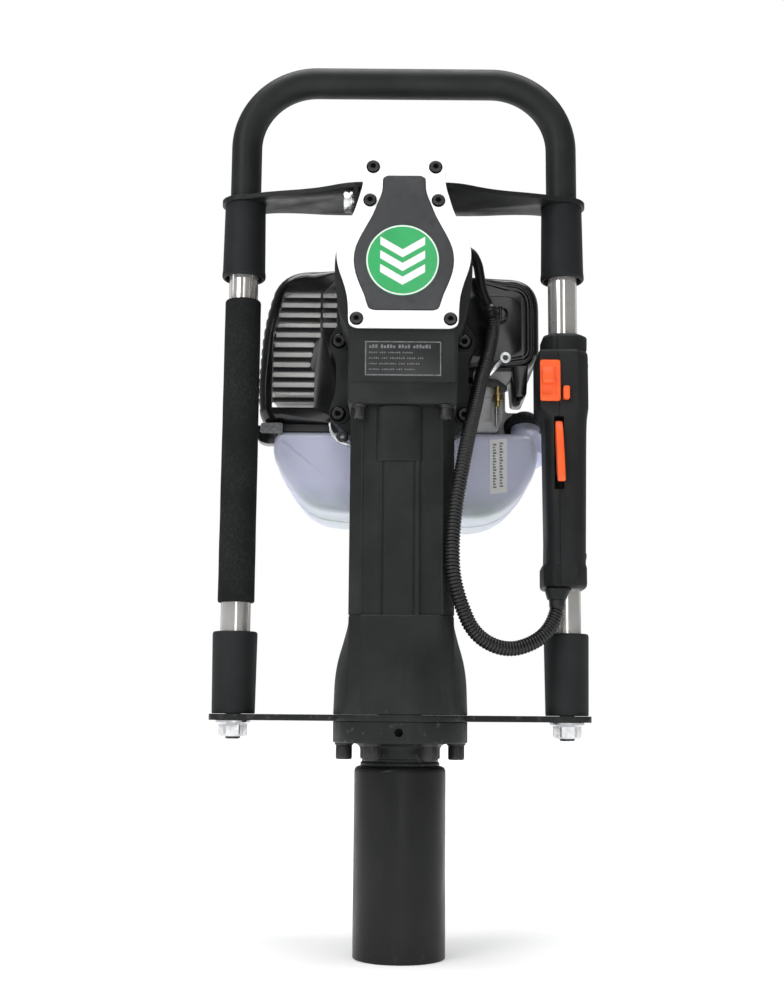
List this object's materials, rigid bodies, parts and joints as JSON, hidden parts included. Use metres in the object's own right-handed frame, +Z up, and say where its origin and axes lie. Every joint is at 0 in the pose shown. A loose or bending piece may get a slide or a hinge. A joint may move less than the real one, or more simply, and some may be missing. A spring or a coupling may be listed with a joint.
{
  "type": "petrol post driver",
  "caption": "Hand-held petrol post driver: hammer barrel on a post sleeve, geared head, small engine and tank behind, sprung bow handle with throttle grip.",
  "frame": {"origin": "centre of the anvil's lower face, which sits on the post, on the axis of the sleeve and barrel", "axes": "+Z up along the barrel, -Y to the front cover, +Y to the engine, +X to the side of the throttle grip"},
  "size_m": [0.3134, 0.276, 0.7488],
  "materials": {
    "black_paint": "satin black paint over cast and machined metal",
    "black_steel": "black paint over steel, satin",
    "sleeve_steel": "black oxide and paint, rubbed at the rim",
    "white_cover": "white gloss powder coat",
    "inlay_grey": "dark grey satin paint",
    "black_plastic": "moulded, fine texture",
    "gloss_plastic_black": "moulded gloss",
    "foam_rubber": "open foam, matt",
    "orange_plastic": "moulded, satin",
    "chrome_tube": "polished chrome",
    "zinc_fastener": "zinc plate",
    "black_oxide": "black oxide",
    "bare_steel": "ground steel, oiled",
    "cast_aluminium": "sand-blasted die casting",
    "muffler_steel": "aluminised sheet",
    "tank_plastic": "translucent blow-moulded polyethylene"
  },
  "bodies": {
    "driver": {"air_cleaner_cover": "gloss_plastic_black", "barrel_housing": "black_paint", "bracket_bolt": "zinc_fastener", "carburetor": "cast_aluminium", "clutch_housing": "black_paint", "cover_inlay": "inlay_grey", "crankcase": "cast_aluminium", "cylinder_cover": "gloss_plastic_black", "engine_cylinder": "cast_aluminium", "fan_housing": "cast_aluminium", "flange_bolt_1": "black_oxide", "flange_bolt_2": "black_oxide", "flange_bolt_3": "black_oxide", "flange_bolt_4": "black_oxide", "flange_bolt_5": "black_oxide", "flange_bolt_6": "black_oxide", "front_cover": "white_cover", "fuel_tank": "tank_plastic", "gear_housing": "black_paint", "lower_bracket": "black_steel", "lower_sleeve_left": "black_plastic", "lower_sleeve_right": "black_plastic", "lower_spring_left": "bare_steel", "lower_spring_right": "bare_steel", "muffler": "muffler_steel", "muffler_cover": "gloss_plastic_black", "nose_flange": "black_steel", "post_sleeve": "sleeve_steel", "starter_housing": "gloss_plastic_black", "stud_left": "zinc_fastener", "stud_nut_left": "zinc_fastener", "stud_nut_right": "zinc_fastener", "stud_right": "zinc_fastener", "throttle_loom": "black_plastic", "upper_bracket": "black_steel", "upper_sleeve_left": "black_plastic", "upper_sleeve_right": "black_plastic", "upper_spring_left": "bare_steel", "upper_spring_right": "bare_steel"},
    "handle": {"handle_tube": "chrome_tube", "handle_sheath": "black_plastic", "left_grip_foam": "foam_rubber", "grip_shell_inner": "black_plastic", "grip_shell_outer": "black_plastic", "cable_gland": "black_plastic"},
    "trigger": {"trigger": "orange_plastic"},
    "lockout_lever": {"lockout_lever": "black_plastic"},
    "stop_switch": {"stop_switch": "orange_plastic"},
    "lock_button": {"lock_button": "orange_plastic"},
    "fuel_cap": {"fuel_cap": "black_plastic"},
    "starter_grip": {"starter_grip": "gloss_plastic_black"},
    "crankshaft": {"crankshaft": "bare_steel"},
    "clutch_drum": {"clutch_drum": "bare_steel"},
    "lay_gear": {"lay_gear": "bare_steel"},
    "crank_gear": {"crank_gear": "bare_steel"},
    "connecting_rod": {"connecting_rod": "bare_steel"},
    "drive_piston": {"drive_piston": "bare_steel"},
    "ram": {"ram": "bare_steel"},
    "anvil": {"anvil": "bare_steel"}
  },
  "joints": [
    {"name": "handle_float", "type": "slide", "parent": "driver", "child": "handle", "axis": [0, 0, 1], "range_m": [-0.01, 0.01], "stiffness_N_per_m": 12000, "springref_m": 0.0016, "deforming": ["upper_spring_left", "upper_spring_right", "lower_spring_left", "lower_spring_right", "throttle_loom"]},
    {"name": "trigger_pull", "type": "hinge", "parent": "handle", "child": "trigger", "pos_m": [0.1294, -0.004, 0.294], "axis": [1, 0, 0], "range_deg": [0, 16], "stiffness_Nm_per_rad": 0.3, "springref_deg": -20.05},
    {"name": "lockout_press", "type": "hinge", "parent": "handle", "child": "lockout_lever", "pos_m": [0.1485, 0.044, 0.354], "axis": [-1, 0, 0], "range_deg": [0, 3.5], "stiffness_Nm_per_rad": 0.6, "springref_deg": -8.59},
    {"name": "stop_switch_slide", "type": "slide", "parent": "handle", "child": "stop_switch", "axis": [0, 0, 1], "range_m": [-0.008, 0]},
    {"name": "lock_button_press", "type": "slide", "parent": "handle", "child": "lock_button", "axis": [0, 1, 0], "range_m": [0, 0.0035], "stiffness_N_per_m": 300, "springref_m": -0.004},
    {"name": "fuel_cap_turn", "type": "hinge", "parent": "driver", "child": "fuel_cap", "pos_m": [0.11, 0.082, 0.298], "axis": [0, 0.342, 0.9397], "range_deg": [0, 330]},
    {"name": "starter_pull", "type": "slide", "parent": "driver", "child": "starter_grip", "axis": [0, 0, 1], "range_m": [0, 0.5], "stiffness_N_per_m": 20, "springref_m": -0.3},
    {"name": "crankshaft_spin", "type": "hinge", "parent": "driver", "child": "crankshaft", "pos_m": [0, 0.1, 0.343], "axis": [0, 1, 0], "continuous": true},
    {"name": "crank_gear_spin", "type": "hinge", "parent": "driver", "child": "crank_gear", "pos_m": [0, 0.01, 0.418], "axis": [0, 1, 0], "continuous": true},
    {"name": "lay_gear_spin", "type": "hinge", "parent": "driver", "child": "lay_gear", "pos_m": [0.0111, 0.015, 0.37424], "axis": [0, 1, 0], "continuous": true},
    {"name": "clutch_drum_spin", "type": "hinge", "parent": "driver", "child": "clutch_drum", "pos_m": [0, 0.03, 0.343], "axis": [0, 1, 0], "continuous": true},
    {"name": "piston_slide", "type": "slide", "parent": "driver", "child": "drive_piston", "axis": [0, 0, 1], "range_m": [0, 0.032]},
    {"name": "rod_swing", "type": "hinge", "parent": "drive_piston", "child": "connecting_rod", "pos_m": [0, 0, 0.26], "axis": [0, 1, 0], "range_deg": [-7, 7]},
    {"name": "ram_slide", "type": "slide", "parent": "driver", "child": "ram", "axis": [0, 0, 1], "range_m": [-0.002, 0.04]},
    {"name": "anvil_slide", "type": "slide", "parent": "driver", "child": "anvil", "axis": [0, 0, 1], "range_m": [-0.008, 0]}
  ],
  "couplings": [
    {"joint": "lay_gear_spin", "follows": "crank_gear_spin", "ratio": -3.6154},
    {"joint": "clutch_drum_spin", "follows": "crank_gear_spin", "ratio": 9.641}
  ]
}
